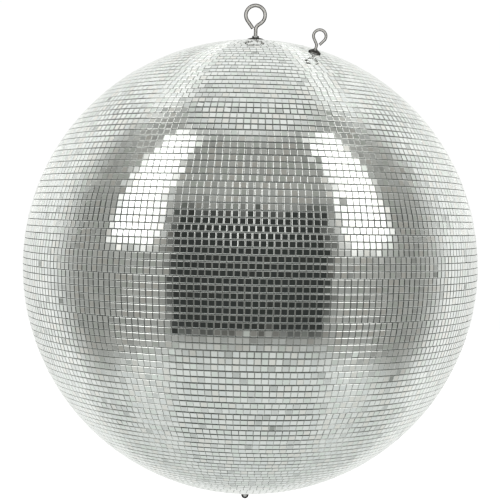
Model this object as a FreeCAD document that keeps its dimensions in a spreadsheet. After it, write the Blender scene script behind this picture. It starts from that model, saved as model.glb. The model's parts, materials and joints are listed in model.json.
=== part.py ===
import FreeCAD, Part
import math
import os
import re
import Sketcher

# 750 mm mirror ball: a hollow two-part plastic sphere with rows of 10 mm glass
# facets, hung from a swivelling wire eye, with a safety eye beside it, a steel
# spine tube between the poles and a domed nut at the bottom.
#
# Frame: millimetres, +Z up.  The origin is the point where a hook bears on the
# inside of the main eye; the ball hangs below it and spins about Z.
# Parts are modelled about the centre of the sphere and placed from there, so all
# heights below are measured from that centre.

Vector = FreeCAD.Vector
Placement = FreeCAD.Placement
Rotation = FreeCAD.Rotation

doc = FreeCAD.newDocument("mirror_ball")
os.makedirs("parts", exist_ok=True)

# ---------------------------------------------------------------- dimensions
# (alias, number or spreadsheet formula over the aliases above it)
DIMS = [
    # sphere
    ("ball_radius", 375.0),        # face of the facets
    ("tile_size", 10.0),
    ("tile_thick", 1.8),
    ("row_count", 112),            # facet rows that would fill pole to pole
    ("glue_gap", 0.2),
    ("shell_radius", "=ball_radius - tile_thick - glue_gap"),
    ("shell_wall", 3.0),
    ("pole_flat", 372.2),          # flat pads outside the shell, at the poles and safety eye
    ("boss_face", 363.2),          # inner face of the bosses
    ("boss_inset", 2.0),           # from the shell's outside to the boss's outer end
    ("boss_radius", 34.0),
    ("safety_boss_radius", 24.0),
    ("splice_half", 30.0),
    ("splice_wall", 4.0),
    ("splice_gap", 0.1),
    # main eye; offsets are across the shank, positive where the wire bends away
    ("eye_wire_radius", 3.0),
    ("eye_ring_radius", 16.0),     # to the middle of the wire
    ("eye_ring_height", 418.3),
    ("eye_ring_offset", -0.9),
    ("eye_bend_height", 394.5),
    ("eye_bend_radius", 9.0),
    ("eye_tip_offset", -4.9),
    ("eye_tip_height", 396.6),
    ("eye_shank_end", 325.0),
    # from the centre of the sphere to the hook's bearing point
    ("seat_height", "=eye_ring_height + eye_ring_radius - eye_wire_radius"),
    # hubs
    ("hub_flange_radius", 30.0),
    ("hub_flange_thick", 5.0),
    ("spigot_radius", 10.4),
    ("spigot_length", 20.0),
    ("flange_low", "=boss_face - hub_flange_thick"),
    ("spigot_low", "=flange_low - spigot_length"),
    ("neck_radius", 8.0),
    ("neck_top", 378.6),
    ("neck_bore", 3.6),
    ("pole_hole", 8.2),
    # swivel
    ("bush_outer", 5.0),
    ("bush_inner", 3.06),
    ("bush_flange", 7.5),
    ("bush_flange_thick", 1.5),
    ("bush_low", "=spigot_low - bush_flange_thick"),
    ("bush_top", 368.2),
    ("thrust_washer_outer", 8.0),
    ("thrust_washer_thick", 1.6),
    ("thrust_gap", 0.05),
    ("thrust_washer_top", "=bush_low - thrust_gap"),
    ("thrust_washer_low", "=thrust_washer_top - thrust_washer_thick"),
    ("lock_nut_flats", 10.0),
    ("lock_nut_height", 6.0),
    # top clamp and cover
    ("clamp_washer_outer", 18.0),
    ("clamp_washer_thick", 1.5),
    ("clamp_washer_top", "=pole_flat + clamp_washer_thick"),
    ("clamp_nut_outer", 12.5),
    ("clamp_nut_height", 3.6),
    ("clamp_nut_top", "=clamp_washer_top + clamp_nut_height"),
    ("clamp_slot_width", 3.0),
    ("clamp_slot_depth", 2.2),
    ("cover_radius", 16.5),
    ("cover_wall", 1.5),
    ("cover_top", 380.4),
    ("cover_hole", 3.5),
    ("collar_flats", 10.0),
    ("collar_height", 3.2),
    ("collar_gap", 0.3),
    # spine
    ("tube_outer", 12.5),
    ("tube_inner", 10.5),
    ("screw_radius", 2.0),
    ("screw_head_radius", 3.6),
    ("screw_head_height", 2.2),
    ("screw_reach", 6.9),          # from the axis to the inner end of the screw
    ("screw_height", "=flange_low - spigot_length / 2"),
    # bottom
    ("stud_radius", 4.0),
    ("stud_clearance", 4.2),
    ("stud_drop", 12.0),           # below the bottom pad
    ("stud_bevel", 0.6),
    ("bottom_hub_bore", "=stud_clearance - 0.15"),
    ("bottom_washer_outer", 8.0),
    ("bottom_washer_thick", 1.6),
    ("spring_washer_outer", 7.4),
    ("spring_washer_thick", 2.1),
    ("spring_slit_width", 1.0),
    ("spring_low", "=-pole_flat - bottom_washer_thick - spring_washer_thick"),
    ("cap_nut_flats", 13.0),
    ("cap_nut_hex_height", 7.0),
    ("cap_nut_height", 15.0),
    ("cap_nut_dome", 6.2),
    ("dome_base", "=spring_low - cap_nut_height + cap_nut_dome"),
    ("inner_nut_height", 6.5),
    ("stud_top", "=-spigot_low + inner_nut_height + 2.7"),
    # safety eye; heights run along its own tilted axis
    ("safety_polar", 23.3036),     # degrees from the top pole, the middle of a facet row
    ("safety_azimuth", -51.0),     # degrees from +X
    ("safety_wire_radius", 2.2),
    ("safety_ring_radius", 9.8),
    ("safety_ring_height", 402.2),
    ("safety_ring_offset", -0.4),
    ("safety_bend_height", 385.2),
    ("safety_bend_radius", 6.0),
    ("safety_tip_offset", -4.0),
    ("safety_tip_height", 388.9),
    ("safety_shank_end", 350.0),
    ("safety_hole", 2.7),
    ("safety_plate_radius", 10.0),
    ("safety_plate_seat", 375.12),
    ("safety_plate_rise", 4.2),
    ("safety_plate_top", "=safety_plate_seat + safety_plate_rise"),
    ("safety_plate_wall", 1.2),
    ("backing_radius", 20.0),
    ("backing_thick", 2.0),
    ("backing_low", "=boss_face - backing_thick"),
    ("safety_washer_outer", 7.5),
    ("safety_washer_thick", 1.2),
    ("safety_washer_low", "=backing_low - safety_washer_thick"),
    ("safety_nut_flats", 8.0),
    ("safety_nut_height", 5.0),
]
sheet = doc.addObject("Spreadsheet::Sheet", "Dims")
for row, (alias, content) in enumerate(DIMS, 1):
    sheet.set("A%d" % row, alias)
    sheet.set("B%d" % row, str(content))
    sheet.setAlias("B%d" % row, alias)
doc.recompute()
SIZE = {alias: float(sheet.get(alias)) for alias, _ in DIMS}


# ------------------------------------------------------------------ formulas
# Sizes are passed as formulas: strings over the aliases, such as "neck_radius + 0.1".
def expression(formula):
    """The FreeCAD expression for a formula."""
    def qualify(match):
        word = match.group(0)
        return "Dims." + word if word in SIZE else word
    return re.sub(r"[a-z_]+", qualify, formula)


def number(formula):
    """The value of a formula made of aliases, numbers, + - * / and brackets."""
    tokens = re.findall(r"[a-z_]+|[\d.]+|[-+*/()]", formula)
    tokens.reverse()

    def factor():
        token = tokens.pop()
        if token == "(":
            result = total()
            tokens.pop()
            return result
        if token == "-":
            return -factor()
        return SIZE[token] if token in SIZE else float(token)

    def product():
        result = factor()
        while tokens and tokens[-1] in ("*", "/"):
            if tokens.pop() == "*":
                result *= factor()
            else:
                result /= factor()
        return result

    def total():
        result = product()
        while tokens and tokens[-1] in ("+", "-"):
            if tokens.pop() == "+":
                result += product()
            else:
                result -= product()
        return result

    return total()


def bind(obj, **formulas):
    """Drives properties of an object from formulas."""
    for prop, formula in formulas.items():
        obj.setExpression(prop, expression(formula))


def at(x, y, z):
    return Placement(Vector(x, y, z), Rotation())


# --------------------------------------------------------- bodies and outlines
FINAL = []      # (object, label) of every part


def finish_part(obj, label, frame=None):
    """Labels a part and hangs it from the origin; frame is its place about the sphere."""
    obj.Label = label
    hang = at(0, 0, -SIZE["seat_height"])
    if frame is None:
        obj.Placement = hang
        obj.setExpression(".Placement.Base.z", "-Dims.seat_height")
    else:
        obj.Placement = hang.multiply(frame)
    FINAL.append((obj, label))


def new_body(name):
    return doc.addObject("PartDesign::Body", name + "_body")


def new_sketch(body, name, role):
    sketch = body.newObject("Sketcher::SketchObject", name)
    base_plane = [f for f in body.Origin.OriginFeatures if f.Role == role][0]
    sketch.AttachmentSupport = [(base_plane, "")]
    sketch.MapMode = "FlatFace"
    return sketch


def add_loop(sketch, corners):
    """Closed outline of lines through (x, y) corners; returns its first geometry index."""
    first = sketch.GeometryCount
    count = len(corners)
    for i in range(count):
        start, end = corners[i], corners[(i + 1) % count]
        line = Part.LineSegment(Vector(start[0], start[1], 0), Vector(end[0], end[1], 0))
        sketch.addGeometry(line, False)
    for i in range(count):
        sketch.addConstraint(Sketcher.Constraint(
            "Coincident", first + i, 2, first + (i + 1) % count, 1))
    return first


def add_polygon(sketch, points):
    """Closed outline whose corners are held by distances bound to the sheet."""
    corners = [(number(x), number(y)) for x, y in points]
    first = add_loop(sketch, corners)
    for i, corner in enumerate(corners):
        # -2 and -1 are the sketch's vertical and horizontal axes
        for axis, kind, zero_line in ((0, "DistanceX", -2), (1, "DistanceY", -1)):
            value = corner[axis]
            text = expression(points[i][axis])
            if abs(value) < 1e-9:
                sketch.addConstraint(Sketcher.Constraint(
                    "PointOnObject", first + i, 1, zero_line))
                continue
            if value > 0:
                held = Sketcher.Constraint(kind, -1, 1, first + i, 1, value)
            else:
                held = Sketcher.Constraint(kind, first + i, 1, -1, 1, -value)
                text = "-(" + text + ")"
            index = sketch.addConstraint(held)
            sketch.setExpression("Constraints[%d]" % index, text)


def revolve(body, sketch, name):
    """Turns a sketch fully about Z."""
    turn = body.newObject("PartDesign::Revolution", name)
    turn.Profile = sketch
    turn.ReferenceAxis = (sketch, ["V_Axis"])
    turn.Angle = 360
    doc.recompute()


def turned(name, points):
    """A body turned about Z from an outline of (radius, height) formulas."""
    body = new_body(name)
    sketch = new_sketch(body, name + "_profile", "XZ_Plane")
    add_polygon(sketch, points)
    revolve(body, sketch, name + "_turn")
    return body


def turned_part(name, points, frame=None):
    finish_part(turned(name, points), name, frame)


def ring(inner, outer, low, high):
    """The (radius, height) outline of a plain ring."""
    return [(inner, low), (outer, low), (outer, high), (inner, high)]


# ------------------------------------------------------- primitives, booleans
def stand(obj, base, frame=None):
    """Puts the foot of a primitive at height base, along Z or along the frame's axis."""
    if frame is None:
        obj.setExpression(".Placement.Base.z", expression(base))
    else:
        obj.Placement = frame.multiply(at(0, 0, number(base)))
    return obj


def cylinder(name, radius, height, base="0", frame=None):
    solid = doc.addObject("Part::Cylinder", name)
    bind(solid, Radius=radius, Height=height)
    return stand(solid, base, frame)


def sphere(name, radius, low=-90, high=90, base="0"):
    """A ball, or the zone of it between two latitudes."""
    solid = doc.addObject("Part::Sphere", name)
    bind(solid, Radius=radius)
    solid.Angle1 = low
    solid.Angle2 = high
    return stand(solid, base)


def cut(name, base, tool):
    result = doc.addObject("Part::Cut", name)
    result.Base = base
    result.Tool = tool
    return result


def fuse(name, *solids):
    result = doc.addObject("Part::MultiFuse", name)
    result.Shapes = list(solids)
    return result


def common(name, *solids):
    result = doc.addObject("Part::MultiCommon", name)
    result.Shapes = list(solids)
    return result


def chamfered_hexagon(name, flats, height, base, inset, outset, bevel):
    """A hexagon bar meeting a bevelled barrel, which takes the corners off both faces.
    The barrel is inset from the flats at its faces and outset past them between bevels."""
    bar = doc.addObject("Part::Prism", name + "_hex")
    bar.Polygon = 6
    bind(bar, Circumradius=flats + " / sqrt(3)", Height=height)
    stand(bar, base)
    top = base + " + " + height
    narrow = "%s / 2 - %s" % (flats, inset)
    wide = "%s / 2 + %s" % (flats, outset)
    barrel = turned(name + "_barrel", [
        ("0", base),
        (narrow, base),
        (wide, base + " + " + bevel),
        (wide, top + " - " + bevel),
        (narrow, top),
        ("0", top),
    ])
    return common(name + "_chamfered", bar, barrel)


def hex_nut(name, flats, height, hole, base, frame=None):
    """A hexagon nut with both faces chamfered and a plain hole at its thread size."""
    blank = chamfered_hexagon(name, flats, height, base, inset="0.25", outset="0.9", bevel="0.7")
    bore = cylinder(name + "_hole", hole, height + " + 4", base + " - 2")
    finish_part(cut(name + "_cut", blank, bore), name, frame)


def safety_frame():
    """The frame whose Z runs from the sphere's centre along the safety eye."""
    polar = math.radians(SIZE["safety_polar"])
    azimuth = math.radians(SIZE["safety_azimuth"])
    out = Vector(math.sin(polar) * math.cos(azimuth),
                 math.sin(polar) * math.sin(azimuth),
                 math.cos(polar))
    across = Vector(0, 1, 0).cross(out).normalize()
    return Placement(Vector(0, 0, 0), Rotation(across, out.cross(across), out, "ZXY"))


SAFETY = safety_frame()


# -------------------------------------------------------------------- shells
BOSS_HEIGHT = "shell_radius - boss_inset - boss_face"


def half_shell(side, latitudes, boss_base, flat_base, hole, hole_base,
               more_bosses=(), more_tools=()):
    """Half of the hollow sphere, with a bored boss and an outer flat at its pole."""
    outer = sphere(side + "_outer", "shell_radius", *latitudes)
    inner = sphere(side + "_inner", "shell_radius - shell_wall")
    wall = cut(side + "_wall", outer, inner)
    boss = cylinder(side + "_boss", "boss_radius", BOSS_HEIGHT, boss_base)
    bossed = fuse(side + "_bossed", wall, boss, *more_bosses)
    flat = cylinder(side + "_flat", "boss_radius + 10", "20", flat_base)
    bore = cylinder(side + "_pole_hole", hole, "60", hole_base)
    tools = fuse(side + "_tools", flat, bore, *more_tools)
    finish_part(cut(side + "_done", bossed, tools), side + "_shell")


def shells():
    safety_boss = cylinder("safety_boss", "safety_boss_radius", BOSS_HEIGHT, "boss_face", SAFETY)
    safety_flat = cylinder("safety_flat", "safety_boss_radius + 8", "20", "pole_flat", SAFETY)
    safety_pass = cylinder("safety_pass", "safety_hole", "60", "shell_radius - 40", SAFETY)
    half_shell("upper", (0, 90), boss_base="boss_face", flat_base="pole_flat",
               hole="pole_hole", hole_base="shell_radius - 40",
               more_bosses=[safety_boss], more_tools=[safety_flat, safety_pass])
    half_shell("lower", (-90, 0), boss_base="boss_inset - shell_radius",
               flat_base="-pole_flat - 20",
               hole="stud_clearance", hole_base="-shell_radius - 20")


def splice_band():
    """Band bonded inside the joint between the two shells."""
    outer = sphere("splice_outer", "shell_radius - shell_wall - splice_gap")
    inner = sphere("splice_inner", "shell_radius - shell_wall - splice_wall")
    slab = cylinder("splice_slab", "shell_radius", "2 * splice_half", "-splice_half")
    wall = cut("splice_wall_ring", outer, inner)
    finish_part(common("splice_done", wall, slab), "equator_splice_band")


# --------------------------------------------------------------- facet rows
# Rows are numbered upwards from the bottom pole; the ones at the pads are left out.
FIRST_ROW, EQUATOR_ROW, LAST_ROW = 1, 56, 109
BAND_ROWS = 7       # rows in one part
BANDS = 8           # parts in each half
ROW_HALF_ANGLE = 0.8    # degrees, just under half the pitch of the rows


def row_latitude(row):
    return -math.pi / 2 + (row + 0.5) * math.pi / SIZE["row_count"]


def add_tile(sketch, latitude):
    """The section of one facet row: a rectangle facing away from the centre."""
    out = Vector(math.cos(latitude), math.sin(latitude), 0)
    along = Vector(-math.sin(latitude), math.cos(latitude), 0)
    half = SIZE["tile_size"] / 2
    face = SIZE["ball_radius"]
    back = face - SIZE["tile_thick"]
    first = add_loop(sketch, [out * face - along * half, out * face + along * half,
                              out * back + along * half, out * back - along * half])
    for line, alias in ((first, "tile_size"), (first + 1, "tile_thick")):
        index = sketch.addConstraint(Sketcher.Constraint("Distance", line, SIZE[alias]))
        sketch.setExpression("Constraints[%d]" % index, "Dims." + alias)
    sketch.addConstraint(Sketcher.Constraint("Parallel", first, first + 2))
    sketch.addConstraint(Sketcher.Constraint("Parallel", first + 1, first + 3))


def tile_band(tag, rows):
    """Neighbouring facet rows as one part, drilled where the safety eye passes."""
    name = "tile_rows_" + tag
    body = new_body(name)
    body.AllowCompound = True
    sketch = new_sketch(body, name + "_profile", "XZ_Plane")
    for row in rows:
        add_tile(sketch, row_latitude(row))
    revolve(body, sketch, name + "_turn")
    safety_latitude = 90 - SIZE["safety_polar"]
    nearest = min(abs(safety_latitude - math.degrees(row_latitude(row))) for row in rows)
    if nearest < ROW_HALF_ANGLE:
        drill = cylinder("safety_drill_" + tag, "safety_hole", "60", "shell_radius - 30", SAFETY)
        finish_part(cut(name + "_drilled", body, drill), name)
    else:
        finish_part(body, name)


def tile_bands():
    """Lower bands are numbered down to 1 at the equator, upper bands up from 1 there."""
    for k in range(BANDS):
        start = FIRST_ROW + BAND_ROWS * k
        tile_band("lower_%d" % (BANDS - k), range(start, min(start + BAND_ROWS, EQUATOR_ROW)))
    for k in range(BANDS):
        start = EQUATOR_ROW + BAND_ROWS * k
        tile_band("upper_%d" % (k + 1), range(start, min(start + BAND_ROWS, LAST_ROW + 1)))


# ---------------------------------------------------------------- wire eyes
def eye_path(prefix, side):
    """Centre line of a wire eye in (x, z): a straight shank, a bend, a straight, most of
    a circle and a straight run back to the shank.  side mirrors it in x."""
    ring_radius = SIZE[prefix + "_ring_radius"]
    ring_x, ring_z = SIZE[prefix + "_ring_offset"], SIZE[prefix + "_ring_height"]
    bend, bend_z = SIZE[prefix + "_bend_radius"], SIZE[prefix + "_bend_height"]
    tip_x, tip_z = SIZE[prefix + "_tip_offset"], SIZE[prefix + "_tip_height"]

    def point(x, z):
        return Vector(side * x, z, 0)

    def line(x1, z1, x2, z2):
        return Part.LineSegment(point(x1, z1), point(x2, z2))

    def arc(x, z, radius, start, stop):
        """Counter-clockwise from start to stop before mirroring."""
        if side < 0:
            start, stop = math.pi - stop, math.pi - start
        return Part.ArcOfCircle(Part.Circle(point(x, z), Vector(0, 0, 1), radius), start, stop)

    # The straight after the bend is the crossed tangent of the bend and ring circles.
    across, rise = bend - ring_x, ring_z - bend_z
    turn = math.atan2(rise, across) - math.acos((ring_radius + bend) / math.hypot(across, rise))
    # The last straight touches the ring and ends at the tip.
    tip_distance = math.hypot(tip_x - ring_x, tip_z - ring_z)
    tip_angle = math.atan2(tip_z - ring_z, tip_x - ring_x)
    leave = (tip_angle - math.acos(ring_radius / tip_distance)) % (2 * math.pi)
    return [
        line(0, SIZE[prefix + "_shank_end"], 0, bend_z),
        arc(bend, bend_z, bend, math.pi - turn, math.pi),
        line(bend - bend * math.cos(turn), bend_z + bend * math.sin(turn),
             ring_x + ring_radius * math.cos(turn), ring_z - ring_radius * math.sin(turn)),
        arc(ring_x, ring_z, ring_radius, -turn, leave),
        line(ring_x + ring_radius * math.cos(leave), ring_z + ring_radius * math.sin(leave),
             tip_x, tip_z),
    ]


def wire_eye(name, prefix, side, frame=None, collar=None):
    """A bent-wire eye in the XZ plane, leaving its shank towards +X if side is +1 and
    -X if it is -1; collar is the outline of a shoulder upset on the shank."""
    wire = prefix + "_wire_radius"
    body = new_body(name)
    section = new_sketch(body, name + "_section", "XY_Plane")
    section.AttachmentOffset = at(0, 0, SIZE[prefix + "_shank_end"])
    section.addGeometry(Part.Circle(Vector(0, 0, 0), Vector(0, 0, 1), SIZE[wire]), False)
    section.addConstraint(Sketcher.Constraint("Coincident", 0, 3, -1, 1))
    index = section.addConstraint(Sketcher.Constraint("Radius", 0, SIZE[wire]))
    section.setExpression("Constraints[%d]" % index, "Dims." + wire)
    path = new_sketch(body, name + "_path", "XZ_Plane")
    for piece in eye_path(prefix, side):
        path.addGeometry(piece, False)
    doc.recompute()
    sweep = body.newObject("PartDesign::AdditivePipe", name + "_sweep")
    sweep.Profile = section
    sweep.Spine = (path, [])
    sweep.Mode = "Standard"
    doc.recompute()
    if collar:
        sketch = new_sketch(body, name + "_collar_profile", "XZ_Plane")
        add_polygon(sketch, collar)
        revolve(body, sketch, name + "_collar")
    finish_part(body, name, frame)


def wire_eyes():
    wire_eye("main_eye", "eye", side=1)
    wire_eye("safety_eye", "safety", side=-1, frame=SAFETY, collar=[
        ("safety_wire_radius - 0.6", "safety_plate_top"),
        ("safety_wire_radius + 1.3", "safety_plate_top"),
        ("safety_wire_radius + 1.3", "safety_plate_top + 1.2"),
        ("safety_wire_radius + 0.9", "safety_plate_top + 1.6"),
        ("safety_wire_radius - 0.6", "safety_plate_top + 1.6"),
    ])


# ------------------------------------------------------- swivel under the eye
def swivel():
    turned_part("swivel_bush", [
        ("bush_inner", "bush_low"),
        ("bush_flange", "bush_low"),
        ("bush_flange", "spigot_low"),
        ("bush_outer", "spigot_low"),
        ("bush_outer", "bush_top"),
        ("bush_inner", "bush_top"),
    ])
    turned_part("swivel_thrust_washer", ring(
        "eye_wire_radius", "thrust_washer_outer", "thrust_washer_low", "thrust_washer_top"))
    hex_nut("swivel_lock_nut", "lock_nut_flats", "lock_nut_height", "eye_wire_radius",
            "thrust_washer_low - lock_nut_height")
    hex_nut("eye_collar_nut", "collar_flats", "collar_height", "eye_wire_radius",
            "cover_top + collar_gap")


# ------------------------------------------------- hubs, spine tube and screws
SCREWS = 3          # around each hub
SCREW_TURN = 30     # degrees from +X to the first screw


def radial(name, radius, start, length, sign, k):
    """A cylinder pointing out from the axis at the screw height; sign is -1 at the bottom."""
    solid = doc.addObject("Part::Cylinder", name)
    bind(solid, Radius=radius, Height=length)
    angle = math.radians(360 / SCREWS * k + SCREW_TURN)
    out = Vector(math.cos(angle), math.sin(angle), 0)
    foot = out * number(start) + Vector(0, 0, sign * SIZE["screw_height"])
    solid.Placement = Placement(foot, Rotation(Vector(0, 0, 1), out))
    return solid


def screw_holes(tag, sign):
    holes = [radial("%s_hole_%d" % (tag, k), "screw_radius + 0.05", "screw_reach - 0.2", "12",
                    sign, k) for k in range(SCREWS)]
    return fuse(tag + "_screw_holes", *holes)


def top_hub():
    blank = turned("top_hub_blank", [
        ("bush_outer", "spigot_low"),
        ("spigot_radius", "spigot_low"),
        ("spigot_radius", "flange_low"),
        ("hub_flange_radius", "flange_low"),
        ("hub_flange_radius", "boss_face"),
        ("neck_radius", "boss_face"),
        ("neck_radius", "neck_top"),
        ("neck_bore", "neck_top"),
        ("neck_bore", "bush_top"),
        ("bush_outer", "bush_top"),
    ])
    finish_part(cut("top_hub_cut", blank, screw_holes("top_hub", 1)), "top_hub")


def bottom_hub():
    blank = turned("bottom_hub_blank", [
        ("bottom_hub_bore", "-boss_face"),
        ("hub_flange_radius", "-boss_face"),
        ("hub_flange_radius", "-flange_low"),
        ("spigot_radius", "-flange_low"),
        ("spigot_radius", "-spigot_low"),
        ("bottom_hub_bore", "-spigot_low"),
    ])
    finish_part(cut("bottom_hub_cut", blank, screw_holes("bottom_hub", -1)), "bottom_hub")


def centre_tube():
    blank = turned("tube_blank", ring("tube_inner", "tube_outer", "-flange_low", "flange_low"))
    holes = fuse("tube_screw_holes", screw_holes("tube_top", 1), screw_holes("tube_bottom", -1))
    finish_part(cut("centre_tube_cut", blank, holes), "centre_tube")


def hub_screws(tag, sign):
    screws = []
    for k in range(SCREWS):
        shank = radial("%s_screw_shank_%d" % (tag, k), "screw_radius", "screw_reach",
                       "tube_outer - screw_reach", sign, k)
        head = radial("%s_screw_head_%d" % (tag, k), "screw_head_radius", "tube_outer",
                      "screw_head_height", sign, k)
        screws.append(fuse("%s_screw_%d" % (tag, k), shank, head))
    group = doc.addObject("Part::Compound", tag + "_screw_group")
    group.Links = screws
    finish_part(group, tag + "_hub_screws")


# ------------------------------------------------------------ top clamping
def top_clamp_nut():
    """A round nut on the hub's neck, with two crossed slots in its top face."""
    blank = turned("clamp_nut_blank", [
        ("neck_radius + 0.05", "clamp_washer_top"),
        ("clamp_nut_outer", "clamp_washer_top"),
        ("clamp_nut_outer", "clamp_nut_top - 0.8"),
        ("clamp_nut_outer - 0.8", "clamp_nut_top"),
        ("neck_radius + 0.05", "clamp_nut_top"),
    ])
    length = 40
    corner = Vector(-length / 2, -SIZE["clamp_slot_width"] / 2, 0)
    slot_floor = Vector(0, 0, SIZE["clamp_nut_top"] - SIZE["clamp_slot_depth"])
    slots = []
    for k in range(2):
        bar = doc.addObject("Part::Box", "clamp_slot_%d" % k)
        bar.Length, bar.Height = length, 3
        bind(bar, Width="clamp_slot_width")
        turn = Rotation(Vector(0, 0, 1), 90 * k)
        bar.Placement = Placement(turn.multVec(corner) + slot_floor, turn)
        # the slots stop short of the bore
        core = cylinder("clamp_core_%d" % k, "neck_radius + 1.7", "20", "pole_flat")
        slots.append(cut("clamp_slot_cut_%d" % k, bar, core))
    finish_part(cut("clamp_nut_cut", blank, fuse("clamp_slots", *slots)), "top_clamp_nut")


def top_clamp():
    turned_part("top_clamp_washer", ring(
        "neck_radius + 0.1", "clamp_washer_outer", "pole_flat", "clamp_washer_top"))
    top_clamp_nut()
    # from the inner edge of the rim, up the outside to the hole and down the inside
    turned_part("top_cover", [
        ("cover_radius - cover_wall", "clamp_washer_top"),
        ("cover_radius + 0.6", "clamp_washer_top"),
        ("cover_radius + 0.6", "clamp_washer_top + 1.1"),
        ("cover_radius - 0.1", "clamp_washer_top + 1.7"),
        ("cover_radius - 0.9", "cover_top - 3.5"),
        ("cover_radius - 3.7", "cover_top - 1.4"),
        ("cover_radius - 7.7", "cover_top - 0.2"),
        ("cover_hole + 1.2", "cover_top"),
        ("cover_hole", "cover_top"),
        ("cover_hole", "cover_top - 1.5"),
        ("cover_radius - 7.9", "cover_top - 1.65"),
        ("cover_radius - 4.5", "cover_top - 2.8"),
        ("cover_radius - 2.2", "cover_top - 4.2"),
    ])


# ------------------------------------------------------------------ bottom
def bottom_stud():
    low = "-pole_flat - stud_drop"
    turned_part("bottom_stud", [
        ("0", low),
        ("stud_radius - stud_bevel", low),
        ("stud_radius", low + " + stud_bevel"),
        ("stud_radius", "stud_top - stud_bevel"),
        ("stud_radius - stud_bevel", "stud_top"),
        ("0", "stud_top"),
    ])


def bottom_washer():
    disc = cylinder("bottom_washer_disc", "bottom_washer_outer", "bottom_washer_thick",
                    "-pole_flat - bottom_washer_thick")
    hole = cylinder("bottom_washer_hole", "stud_clearance", "20", "-pole_flat - 10")
    finish_part(cut("bottom_washer_cut", disc, hole), "bottom_washer")


def bottom_spring_washer():
    """A flat ring split on its +X side by a slanting slit."""
    disc = cylinder("spring_disc", "spring_washer_outer", "spring_washer_thick", "spring_low")
    hole = cylinder("spring_hole", "stud_clearance", "20", "-pole_flat - 14")
    washer = cut("spring_ring", disc, hole)
    slit = doc.addObject("Part::Box", "spring_slit")
    slit.Length, slit.Height = 12, 14
    bind(slit, Width="spring_slit_width")
    slit.Placement = Placement(
        Vector(2, -SIZE["spring_slit_width"] / 2, SIZE["spring_low"] - 5),
        Rotation(Vector(1, 0, 0), 14))
    finish_part(cut("spring_washer_cut", washer, slit), "bottom_spring_washer")


def bottom_cap_nut():
    """A hexagon under the spring washer, then a round neck and a half-ball dome."""
    hexagon = chamfered_hexagon("cap", "cap_nut_flats", "cap_nut_hex_height",
                                "spring_low - cap_nut_hex_height",
                                inset="0.1", outset="1.3", bevel="0.8")
    # the neck runs 1 mm up into the hexagon
    neck = cylinder("cap_neck", "cap_nut_dome",
                    "cap_nut_height - cap_nut_dome - cap_nut_hex_height + 1", "dome_base")
    dome = sphere("cap_ball", "cap_nut_dome", -90, 0, "dome_base")
    blind = cylinder("cap_blind", "stud_radius + 0.03", "30", "-pole_flat - stud_drop - 0.4")
    solid = fuse("cap_solid", hexagon, neck, dome)
    finish_part(cut("cap_nut_cut", solid, blind), "bottom_cap_nut")


def bottom_fixing():
    bottom_stud()
    bottom_washer()
    bottom_spring_washer()
    bottom_cap_nut()
    hex_nut("bottom_inner_nut", "cap_nut_flats", "inner_nut_height", "stud_radius",
            "-spigot_low")


# ------------------------------------------------------------- safety stack
def safety_stack():
    """What sits on the safety eye's shank: a cover outside, then plate, washer and nut."""
    turned_part("safety_cover", [
        ("safety_plate_radius - 1.6", "safety_plate_seat"),
        ("safety_plate_radius", "safety_plate_seat"),
        ("safety_plate_radius", "safety_plate_seat + 1"),
        ("safety_plate_radius - 2.4", "safety_plate_top - 1.4"),
        ("safety_plate_radius - 5", "safety_plate_top"),
        ("safety_wire_radius + 0.2", "safety_plate_top"),
        ("safety_wire_radius + 0.2", "safety_plate_top - safety_plate_wall"),
        ("safety_plate_radius - 5.2", "safety_plate_top - safety_plate_wall"),
        ("safety_plate_radius - 3.4", "safety_plate_top - 2.3"),
    ], SAFETY)
    turned_part("safety_backing_plate", ring(
        "safety_hole", "backing_radius", "backing_low", "boss_face"), SAFETY)
    turned_part("safety_washer", ring(
        "safety_hole", "safety_washer_outer", "safety_washer_low", "backing_low"), SAFETY)
    hex_nut("safety_lock_nut", "safety_nut_flats", "safety_nut_height", "safety_wire_radius",
            "safety_washer_low - safety_nut_height", SAFETY)


# ------------------------------------------------------------------- export
def export_parts():
    doc.recompute()
    bad = [o.Name for o in doc.Objects if any(s in ("Invalid", "Error") for s in o.State)]
    if bad:
        raise SystemExit("objects failed to recompute: " + ", ".join(bad))
    for obj, label in FINAL:
        shape = obj.Shape
        if shape.isNull() or not shape.isValid() or not shape.Solids:
            raise SystemExit("part is not a valid solid: " + label)
    for obj, label in FINAL:
        solids = obj.Shape.Solids
        result = solids[0] if len(solids) == 1 else Part.makeCompound(solids)
        result.exportStep("parts/" + label + ".step")


shells()
splice_band()
tile_bands()
wire_eyes()
swivel()
top_hub()
bottom_hub()
centre_tube()
hub_screws("top", 1)
hub_screws("bottom", -1)
top_clamp()
bottom_fixing()
safety_stack()
export_parts()
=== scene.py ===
import json
import math

import bpy
import numpy as np
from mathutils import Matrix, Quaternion, Vector


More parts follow.
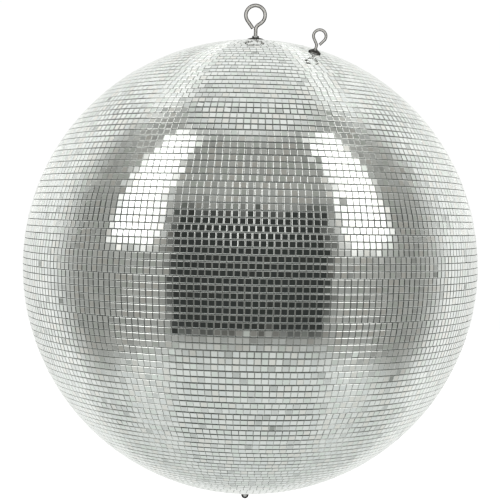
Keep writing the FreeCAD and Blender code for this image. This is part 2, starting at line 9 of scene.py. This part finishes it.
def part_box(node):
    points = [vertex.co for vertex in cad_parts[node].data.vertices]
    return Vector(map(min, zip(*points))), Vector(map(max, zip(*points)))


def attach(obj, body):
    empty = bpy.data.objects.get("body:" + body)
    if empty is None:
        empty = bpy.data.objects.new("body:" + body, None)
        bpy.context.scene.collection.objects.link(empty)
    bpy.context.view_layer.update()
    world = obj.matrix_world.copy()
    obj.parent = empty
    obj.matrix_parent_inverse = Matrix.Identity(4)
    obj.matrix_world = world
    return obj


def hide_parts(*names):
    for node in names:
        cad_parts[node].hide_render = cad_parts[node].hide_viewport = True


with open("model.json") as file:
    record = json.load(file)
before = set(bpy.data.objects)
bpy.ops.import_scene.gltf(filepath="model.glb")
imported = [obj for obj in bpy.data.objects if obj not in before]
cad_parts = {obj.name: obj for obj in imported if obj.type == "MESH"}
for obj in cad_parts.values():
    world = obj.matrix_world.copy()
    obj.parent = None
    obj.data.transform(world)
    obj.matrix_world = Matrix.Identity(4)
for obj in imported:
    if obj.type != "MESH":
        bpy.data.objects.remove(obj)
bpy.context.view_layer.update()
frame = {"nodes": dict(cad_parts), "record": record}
RNG = np.random.default_rng(750112)
scene = bpy.context.scene

# ---------------------------------------------------------------- dimensions
BALL_RADIUS = 0.375                 # to the face of the facets
CENTRE = np.array([0.0, 0.0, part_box("upper_shell")[0].z])
N_ROWS = 112                        # from pole to pole, counted from the bottom
ROW_STEP = math.pi / N_ROWS
FIRST_ROW, END_ROW = 1, 110         # rows nearest the poles are left bare
BAND_ROWS = 7                       # rows in one mesh

TILE_WIDTH = 0.010                  # along the row
TILE_HEIGHT = 0.00978               # along the meridian
TILE_THICK = 0.0018
FACE_SINK = 0.00002                 # facet face below the ball radius
MEAN_PITCH = 0.01010                # least spacing at the middle of a facet
EDGE_PITCH = 0.01004                # least spacing at its edge nearer the pole

SAFETY_ROW = 97                     # the row that meets the safety eye
SAFETY_AZIMUTH = math.radians(-51.0)


# ------------------------------------------------------------ node shorthand
class Graph:
    """Short calls for building a node tree."""

    def __init__(self, tree):
        self.tree = tree

    def feed(self, node, inputs):
        """Link or set each input, keyed by name or number."""
        for key, value in inputs.items():
            if isinstance(value, bpy.types.NodeSocket):
                self.tree.links.new(value, node.inputs[key])
            else:
                node.inputs[key].default_value = value

    def node(self, kind, inputs=None, **props):
        made = self.tree.nodes.new(kind)
        for key, value in props.items():
            setattr(made, key, value)
        self.feed(made, inputs or {})
        return made

    def math(self, op, *operands):
        return self.node("ShaderNodeMath", dict(enumerate(operands)), operation=op).outputs[0]

    def vmath(self, op, *operands):
        made = self.node("ShaderNodeVectorMath", dict(enumerate(operands)), operation=op)
        return made.outputs["Value" if op == "DOT_PRODUCT" else "Vector"]

    def ramp(self, value, low, high, to_low=0.0, to_high=1.0):
        """Smooth step from to_low to to_high as value goes from low to high."""
        inputs = dict(enumerate((value, low, high, to_low, to_high)))
        return self.node("ShaderNodeMapRange", inputs, interpolation_type="SMOOTHSTEP").outputs[0]

    def noise(self, vector, scale, detail, rough, distort=0.0):
        return self.node("ShaderNodeTexNoise", {
            "Vector": vector, "Scale": scale, "Detail": detail,
            "Roughness": rough, "Distortion": distort}).outputs[0]

    def mix(self, fac, first, second):
        """Blend two colours, each a socket or an RGB tuple."""
        inputs = {0: fac}
        for key, colour in ((6, first), (7, second)):
            inputs[key] = (*colour, 1.0) if isinstance(colour, tuple) else colour
        return self.node("ShaderNodeMix", inputs, data_type="RGBA").outputs[2]

    def bump(self, height, strength, distance):
        return self.node("ShaderNodeBump", {
            "Strength": strength, "Distance": distance, "Height": height}).outputs[0]

    def place(self, stretch=(1, 1, 1)):
        """Object coordinates in metres, stretched."""
        coords = self.node("ShaderNodeTexCoord")
        return self.vmath("MULTIPLY", coords.outputs["Object"], stretch)


def material(name):
    made = bpy.data.materials.new(name)
    made.use_nodes = True
    tree = made.node_tree
    return made, Graph(tree), tree.nodes["Principled BSDF"]


def shade(tint, by):
    return tuple(c * by for c in tint)


# ----------------------------------------------------------------- materials
def mirror_face(name, tint, rough):
    """Back-silvered glass: near-neutral, with faint smears and a little desilvering."""
    made, g, shader = material(name)
    at = g.place()
    smear = g.noise(at, scale=55.0, detail=3.0, rough=0.6, distort=0.4)
    cloud = g.noise(at, scale=9.0, detail=2.0, rough=0.5)
    colour = g.mix(g.ramp(smear, low=0.42, high=0.72), tint, shade(tint, by=0.93))
    greener = (tint[0] * 0.985, tint[1], tint[2] * 0.985)
    clouding = g.ramp(cloud, low=0.35, high=0.7, to_high=0.35)
    colour = g.mix(clouding, colour, shade(greener, by=0.95))
    g.feed(shader, {"Base Color": colour, "Metallic": 1.0, "Roughness": rough})
    return made


def glass_edge(name, tint, rough, metallic):
    """The cut edge of a facet: finely mottled glass with a green cast."""
    made, g, shader = material(name)
    chips = g.noise(g.place(), scale=900.0, detail=2.0, rough=0.7)
    colour = g.mix(g.ramp(chips, low=0.45, high=0.65), tint, shade(tint, by=0.72))
    g.feed(shader, {"Base Color": colour, "Metallic": metallic, "Roughness": rough})
    return made


def plated_steel(name, tint, rough, grime, stretch=(1, 1, 1), density=1.0):
    """Bright plating: draw lines, a mottled sheen, dirt, and painted shade at the rim, dark where
    it turns from view.
    """
    made, g, shader = material(name)
    drawn = g.place(stretch)
    flat = g.place()
    lines = g.noise(drawn, scale=900.0 * density, detail=3.0, rough=0.6)
    mottle = g.noise(flat, scale=160.0 * density, detail=4.0, rough=0.6, distort=0.3)
    dirt = g.noise(flat, scale=60.0 * density, detail=5.0, rough=0.7, distort=0.6)
    colour = g.mix(g.ramp(mottle, low=0.35, high=0.7), tint, shade(tint, by=0.8))
    dirty = g.ramp(dirt, low=0.52, high=0.74, to_high=grime)
    colour = g.mix(dirty, colour, (0.16, 0.14, 0.11))
    # painted shade: the colour goes near black towards the rim, where the plating turns from
    # view, standing in for the dark surroundings it would reflect
    turn = g.node("ShaderNodeLayerWeight", {"Blend": 0.5}).outputs["Facing"]
    painted_rim_shade = g.ramp(turn, low=0.03, high=0.20, to_high=0.96)
    colour = g.mix(painted_rim_shade, colour, (0.03, 0.028, 0.025))
    sheen = g.math("ADD", mottle, g.math("MULTIPLY", lines, 0.4))
    roughness = g.ramp(sheen, low=0.5, high=0.95, to_low=rough, to_high=rough + 0.18)
    relief = g.math("ADD", lines, g.math("MULTIPLY", mottle, 0.6))
    g.feed(shader, {
        "Base Color": colour,
        "Specular Tint": (0.12, 0.115, 0.11, 1.0),
        "Metallic": 0.62,
        "Roughness": roughness,
        "Normal": g.bump(relief, strength=0.22, distance=0.0004),
    })
    return made


def plastic(name, tint, rough, grain=700.0, bump=0.12):
    """Moulded plastic: a fine grain and slight, paler flow marks."""
    made, g, shader = material(name)
    at = g.place()
    fine = g.noise(at, scale=grain, detail=3.0, rough=0.6)
    flow = g.noise(at, scale=14.0, detail=4.0, rough=0.6, distort=0.8)
    paler = tuple(min(1, c * 1.35 + 0.01) for c in tint)
    g.feed(shader, {
        "Base Color": g.mix(g.ramp(flow, low=0.35, high=0.7), tint, paler),
        "Roughness": g.ramp(fine, low=0.3, high=0.8, to_low=rough, to_high=rough + 0.15),
        "Normal": g.bump(fine, strength=bump, distance=0.0005),
    })
    return made


def aluminium(name, tint, rough, stretch=(1, 1, 1)):
    """Aluminium with a fine skin texture, cast or drawn."""
    made, g, shader = material(name)
    skin = g.noise(g.place(stretch), scale=450.0, detail=4.0, rough=0.65)
    tone = g.noise(g.place(), scale=35.0, detail=4.0, rough=0.6, distort=0.5)
    g.feed(shader, {
        "Base Color": g.mix(g.ramp(tone, low=0.35, high=0.7), tint, shade(tint, by=0.82)),
        "Metallic": 1.0,
        "Roughness": g.ramp(skin, low=0.3, high=0.75, to_low=rough, to_high=rough + 0.2),
        "Normal": g.bump(skin, strength=0.2, distance=0.0006),
    })
    return made


# name, tint, roughness, share of the facets
MIRRORS = (
    ("mirror_clear", (0.93, 0.95, 0.935), 0.035, 0.36),
    ("mirror_cool", (0.87, 0.90, 0.895), 0.05, 0.22),
    ("mirror_green", (0.85, 0.90, 0.86), 0.045, 0.17),
    ("mirror_warm", (0.90, 0.895, 0.86), 0.055, 0.14),
    ("mirror_grey", (0.78, 0.80, 0.79), 0.07, 0.09),
    ("mirror_dull", (0.66, 0.685, 0.67), 0.12, 0.018),
    ("mirror_aged", (0.42, 0.44, 0.42), 0.16, 0.002),
)
FACE_SHARE = np.array([share for *_, share in MIRRORS])
FACE_SHARE = FACE_SHARE / FACE_SHARE.sum()
TILE_SLOTS = [mirror_face(name, tint, rough) for name, tint, rough, _ in MIRRORS] + [
    glass_edge("facet_bevel", tint=(0.93, 0.95, 0.93), rough=0.11, metallic=1.0),
    glass_edge("facet_side", tint=(0.16, 0.19, 0.17), rough=0.5, metallic=0.0),
]

CAD_LOOK = {
    "shell_plastic": plastic(
        "shell_black_plastic", tint=(0.012, 0.012, 0.013), rough=0.55),
    "splice_plastic": plastic(
        "splice_black_plastic", tint=(0.02, 0.02, 0.022), rough=0.5),
    "bush_plastic": plastic(
        "acetal_natural", tint=(0.80, 0.79, 0.74), rough=0.35, grain=900.0, bump=0.06),
    "plated_wire": plated_steel(
        "zinc_plated_wire", tint=(0.93, 0.91, 0.87), rough=0.34, grime=0.2,
        stretch=(1, 1, 0.12)),
    "plated_fasteners": plated_steel(
        "zinc_plated_fasteners", tint=(0.92, 0.92, 0.90), rough=0.34, grime=0.2),
    "cover_plating": plated_steel(
        "nickel_plated_cover", tint=(0.70, 0.69, 0.66), rough=0.20, grime=0.25,
        stretch=(1, 1, 6), density=0.6),
    "hub_casting": aluminium(
        "die_cast_aluminium", tint=(0.60, 0.61, 0.62), rough=0.38),
    "spine_tube": aluminium(
        "extruded_aluminium", tint=(0.72, 0.73, 0.74), rough=0.25, stretch=(1, 1, 0.05)),
}
cad_slots = {part["node"]: part["material_slot"] for part in frame["record"]["subparts"]}
for node_name, piece in frame["nodes"].items():
    look = CAD_LOOK.get(cad_slots.get(node_name))
    if look is not None:
        piece.data.materials.clear()
        piece.data.materials.append(look)


# -------------------------------------------------------------------- facets
# Standard deviations of the hand-laid irregularities, in radians unless noted
RUN_LEAN_DEG = 0.12         # lean up or down shared by a run of rows
ROW_LEAN_DEG = 0.22         # extra lean of one row
ROW_SLIP = 0.0006           # one row round the axis
AZIMUTH_SPREAD = 0.00009    # one facet along its row, at the equator
LATITUDE_SPREAD = 0.00012   # one facet across its row
TILT = 0.0078               # most facets
WILD_TILT = 0.034           # the few that lie well out of true
WILD_SHARE = 0.025          # fraction of the facets
SPIN = 0.007                # one facet about its own normal
CUT_SPREAD = 0.00004        # half size of a facet, in metres


def latitude(row):
    return -math.pi / 2 + (row + 0.5) * ROW_STEP


def run_length(row):
    """How many rows from this one share a facet count, so that their columns line up."""
    degrees = abs(math.degrees(latitude(row)))
    if degrees < 22:
        return int(RNG.integers(3, 7))
    if degrees < 42:
        return int(RNG.integers(2, 4))
    return 1


def facets_round(lats):
    """The most facets that fit round every one of these latitudes."""
    mean = min(2 * math.pi * BALL_RADIUS * math.cos(lat) for lat in lats)
    tight = min(
        2 * math.pi * (BALL_RADIUS * math.cos(lat) - TILE_WIDTH / 2 * abs(math.sin(lat)))
        for lat in lats)
    return int(min(math.floor(mean / MEAN_PITCH), math.floor(tight / EDGE_PITCH)))


def unit(vectors):
    return vectors / np.linalg.norm(vectors, axis=1)[:, None]


def facet_row(row, count, start, run_lean):
    """Centres, axes (east, north, out) and mirror slots of one row's facets."""
    lat = latitude(row)
    lean = run_lean + math.radians(RNG.normal(0, ROW_LEAN_DEG))
    slip = RNG.normal(0, ROW_SLIP) if row != SAFETY_ROW else 0.0
    az = start + slip + 2 * math.pi * np.arange(count) / count
    az = az + RNG.normal(0, AZIMUTH_SPREAD, count) / max(math.cos(lat), 0.05)
    if row == SAFETY_ROW:
        az = az[1:]     # the facet under the safety eye is drilled and hidden by its cover
    n = len(az)
    lats = lat + RNG.normal(0, LATITUDE_SPREAD, n)
    out = np.stack([np.cos(lats) * np.cos(az), np.cos(lats) * np.sin(az), np.sin(lats)], 1)
    east = np.stack([-np.sin(az), np.cos(az), np.zeros(n)], 1)
    north = np.cross(out, east)
    centres = CENTRE + out * (BALL_RADIUS - FACE_SINK)

    tilt_north, tilt_east = RNG.normal(0, TILT, n), RNG.normal(0, TILT, n)
    wild = RNG.random(n) < WILD_SHARE
    tilt_north = np.where(wild, RNG.normal(0, WILD_TILT, n), tilt_north) + lean
    tilt_east = np.where(wild, RNG.normal(0, WILD_TILT, n), tilt_east)
    out = unit(out + north * tilt_north[:, None] + east * tilt_east[:, None])
    east = east + north * RNG.normal(0, SPIN, n)[:, None]
    east = unit(east - out * (east * out).sum(1)[:, None])
    axes = np.stack([east, np.cross(out, east), out], 1)
    return centres, axes, RNG.choice(len(MIRRORS), n, p=FACE_SHARE)


def facet_rows(rows):
    """Centres, axes and mirror slots of every facet in these rows."""
    laid = []
    first = 0
    while first < len(rows):
        run = run_length(rows[first])
        group = rows[first:first + run]
        count = facets_round([latitude(row) for row in group])
        start = RNG.uniform(0, 2 * math.pi)     # drawn for every run, to keep the sequence
        if SAFETY_ROW in group:
            start = SAFETY_AZIMUTH
        run_lean = math.radians(RNG.normal(0, RUN_LEAN_DEG))
        laid += [facet_row(row, count, start, run_lean) for row in group]
        first += run
    return [np.concatenate(parts) for parts in zip(*laid)]


# Corners of a facet and outward directions of its sides: east, north
CORNERS = np.array([[-1, -1], [1, -1], [1, 1], [-1, 1]], float)
SIDES = np.array([[0, -1], [1, 0], [0, 1], [-1, 0]], float)
# Rings of corners from the flat face down to the back: inset, depth
RINGS = ((0.00090, 0.0), (0.00020, 0.00010), (0.0, 0.00034), (0.0, TILE_THICK))
LEANS = (20.0, 45.0, 62.0)      # degrees the rounded edge has turned at the first three rings
RING_CORNERS = 4 * len(RINGS)


def facet_pattern():
    """Corners, kinds (0 face, 1 rounded edge, 2 side) and corner normals of one facet's quads."""
    up = np.array([0, 0, 1.0])
    quads, kinds, normals = [[0, 1, 2, 3]], [0], [[up] * 4]
    for ring in range(len(RINGS) - 1):
        inner, outer = 4 * ring, 4 * ring + 4
        for k in range(4):
            j = (k + 1) % 4
            quads.append([outer + k, outer + j, inner + j, inner + k])
            side = np.array([*SIDES[k], 0.0])
            if ring < 2:
                near, far = (
                    up * math.cos(turn) + side * math.sin(turn)
                    for turn in map(math.radians, LEANS[ring:ring + 2]))
                kinds.append(1)
                normals.append([far, far, near, near])
            else:
                kinds.append(2)
                normals.append([side] * 4)
    return np.array(quads), np.array(kinds), np.array(normals)


QUADS, KINDS, NORMALS = facet_pattern()


def facet_mesh(name, rows):
    """One mesh of glass squares: a flat face, four rounded edges and four sides each."""
    centres, axes, mirrors = facet_rows(rows)
    n = len(centres)
    half = np.array([[[TILE_WIDTH / 2, TILE_HEIGHT / 2]]])
    half = half - np.abs(RNG.normal(0, CUT_SPREAD, (n, 1, 2)))
    local = np.zeros((n, RING_CORNERS, 3))
    for i, (inset, depth) in enumerate(RINGS):
        local[:, 4 * i:4 * i + 4, :2] = CORNERS[None] * (half - inset)
        local[:, 4 * i:4 * i + 4, 2] = -depth
    verts = centres[:, None, :] + np.einsum("nvk,nkj->nvj", local, axes)
    loops = (np.arange(n)[:, None, None] * RING_CORNERS + QUADS[None]).reshape(-1)
    normals = np.einsum("fvk,nkj->nfvj", NORMALS, axes).reshape(-1, 3)
    slots = np.where(KINDS[None] == 0, mirrors[:, None], len(MIRRORS) + KINDS[None] - 1)
    n_faces = n * len(QUADS)

    mesh = bpy.data.meshes.new(name)
    mesh.vertices.add(n * RING_CORNERS)
    mesh.vertices.foreach_set("co", verts.astype(np.float32).ravel())
    mesh.loops.add(len(loops))
    mesh.loops.foreach_set("vertex_index", loops.astype(np.int32))
    mesh.polygons.add(n_faces)
    mesh.polygons.foreach_set("loop_start", (np.arange(n_faces) * 4).astype(np.int32))
    for slot_material in TILE_SLOTS:
        mesh.materials.append(slot_material)
    mesh.polygons.foreach_set("material_index", slots.astype(np.int32).ravel())
    mesh.update(calc_edges=True)
    mesh.validate()
    mesh.polygons.foreach_set("use_smooth", np.ones(n_faces, bool))
    mesh.normals_split_custom_set(normals.astype(np.float32).tolist())
    return add_object(name, mesh)


def add_object(name, data):
    made = bpy.data.objects.new(name, data)
    scene.collection.objects.link(made)
    return made


def split_rows(first, end):
    return [range(row, min(row + BAND_ROWS, end)) for row in range(first, end, BAND_ROWS)]


# Bands are built from the bottom up and numbered away from the equator
lower = split_rows(FIRST_ROW, N_ROWS // 2)
upper = split_rows(N_ROWS // 2, END_ROW)
bands = [("lower_%d" % (len(lower) - k), rows) for k, rows in enumerate(lower)]
bands += [("upper_%d" % (k + 1), rows) for k, rows in enumerate(upper)]
for tag, rows in bands:
    band = facet_mesh("facets_" + tag, rows)
    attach(band, "ball")
    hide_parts("tile_rows_" + tag)


# -------------------------------------------------------------------- camera
CAMERA_DISTANCE = 5.757 * BALL_RADIUS
CAMERA_RISE = math.radians(2.35)    # above the level of the centre
CAMERA_ROLL = math.radians(1.33)

lens = bpy.data.cameras.new("camera")
camera = add_object("camera", lens)
to_camera = Vector((0.0, -math.cos(CAMERA_RISE), math.sin(CAMERA_RISE)))
camera.location = Vector(CENTRE) + to_camera * CAMERA_DISTANCE
camera.rotation_mode = "QUATERNION"
aimed = (-to_camera).to_track_quat("-Z", "Y")
camera.rotation_quaternion = aimed @ Quaternion((0, 0, 1), CAMERA_ROLL)
lens.sensor_width = 36.0
lens.lens = 92.86
lens.shift_x = -0.0004
lens.shift_y = 0.0336
scene.camera = camera
scene.view_settings.view_transform = "Standard"
scene.view_settings.look = "None"


# -------------------------------------------------------------------- studio
def studio_light(g):
    """The studio as the mirrors see it, by direction: pale ceiling, floor and backdrop,
    grey walls, a soft box on either side, and an unlit patch around the camera."""
    coords = g.node("ShaderNodeTexCoord")
    look_way = g.vmath("NORMALIZE", coords.outputs["Generated"])
    front = Vector(camera.location) - Vector(CENTRE)
    front.z = 0.0
    front.normalize()
    side = (-front.y, front.x, 0.0)
    sideways = g.math("ABSOLUTE", g.vmath("DOT_PRODUCT", look_way, side))
    forward = g.vmath("DOT_PRODUCT", look_way, tuple(front))
    bearing = g.math("ARCTAN2", sideways, forward)      # 0 towards the camera
    above = g.math("ARCSINE", g.vmath("DOT_PRODUCT", look_way, (0.0, 0.0, 1.0)))

    def past(angle, start, end):
        """0 before start, 1 past end, in degrees."""
        return g.ramp(angle, math.radians(start), math.radians(end))

    def between(angle, middle, half, soft):
        """1 within half of the middle, 0 beyond, with a soft edge, in degrees."""
        away = g.math("ABSOLUTE", g.math("SUBTRACT", angle, math.radians(middle)))
        return g.ramp(away, math.radians(half - soft), math.radians(half + soft),
                      to_low=1.0, to_high=0.0)

    walls, backdrop = (0.36, 0.36, 0.34), (0.94, 0.95, 0.93)
    light = g.mix(past(bearing, start=90, end=120), walls, backdrop)
    ceiling = past(above, start=60, end=75)
    light = g.mix(ceiling, light, (0.84, 0.85, 0.83))
    ground = past(above, start=-30, end=-45)
    light = g.mix(ground, light, (0.72, 0.74, 0.72))
    unlit = g.math("MULTIPLY", between(bearing, middle=0.0, half=40.0, soft=4.0),
                   between(above, middle=0.0, half=30.0, soft=4.0))
    light = g.mix(unlit, light, (0.035, 0.038, 0.036))
    box = g.math("MULTIPLY", between(bearing, middle=60.0, half=12.0, soft=6.0),
                 between(above, middle=35.0, half=25.0, soft=6.0))
    return g.mix(box, light, (2.5, 2.5, 2.45))


def build_world():
    """Reflections see the studio, the camera sees white, all other rays a soft white."""
    world = bpy.data.worlds.new("studio")
    scene.world = world
    world.use_nodes = True
    world.node_tree.nodes.clear()
    g = Graph(world.node_tree)
    white = (1.0, 1.0, 1.0, 1.0)

    def background(colour, strength):
        return g.node("ShaderNodeBackground", {0: colour, 1: strength}).outputs[0]

    def choose(ray, other, chosen):
        return g.node("ShaderNodeMixShader", {0: ray, 1: other, 2: chosen}).outputs[0]

    light = studio_light(g)
    rays = g.node("ShaderNodeLightPath").outputs
    mirrored = background(light, strength=1.0)
    soft = background(white, strength=0.75)
    seen = background(white, strength=1.02)
    unseen = choose(rays["Is Glossy Ray"], soft, mirrored)
    surface = choose(rays["Is Camera Ray"], unseen, seen)
    g.node("ShaderNodeOutputWorld", {"Surface": surface})
    world.cycles.sampling_method = "MANUAL"
    world.cycles.sample_map_resolution = 2048


FLOOR_HALF = 30.0
FLOOR_DROP = 2.7        # below the ball's centre


def build_floor():
    """A pale floor far below the hanging ball."""
    pale, g, shader = material("pale_floor")
    grain = g.noise(g.place(), scale=3.0, detail=3.0, rough=0.5)
    g.feed(shader, {
        "Base Color": g.mix(grain, (0.90, 0.90, 0.895), (0.93, 0.93, 0.925)),
        "Roughness": 0.9,
        "Emission Color": (1, 1, 1, 1),
        "Emission Strength": 0.55,
    })
    mesh = bpy.data.meshes.new("floor")
    z = float(CENTRE[2]) - FLOOR_DROP
    corners = [(x * FLOOR_HALF, y * FLOOR_HALF, z) for x, y in CORNERS.tolist()]
    mesh.from_pydata(corners, [], [(0, 1, 2, 3)])
    mesh.materials.append(pale)
    floor = add_object("floor", mesh)
    floor.visible_glossy = False


def soft_light(name, location, size, power):
    """A square area light aimed at the ball, kept out of view and reflections."""
    data = bpy.data.lights.new(name, "AREA")
    data.shape = "SQUARE"
    data.size = size
    data.energy = power
    lamp = add_object(name, data)
    lamp.location = location
    aim = Vector(CENTRE) - Vector(location)
    lamp.rotation_mode = "QUATERNION"
    lamp.rotation_quaternion = aim.to_track_quat("-Z", "Y")
    lamp.visible_glossy = False
    lamp.visible_camera = False


build_world()
build_floor()
soft_light("key", location=(-2.2, -2.4, 1.6), size=1.6, power=60)
soft_light("fill", location=(2.6, -2.0, 0.6), size=1.8, power=40)
soft_light("top", location=(0.0, 0.6, 2.6), size=2.0, power=50)
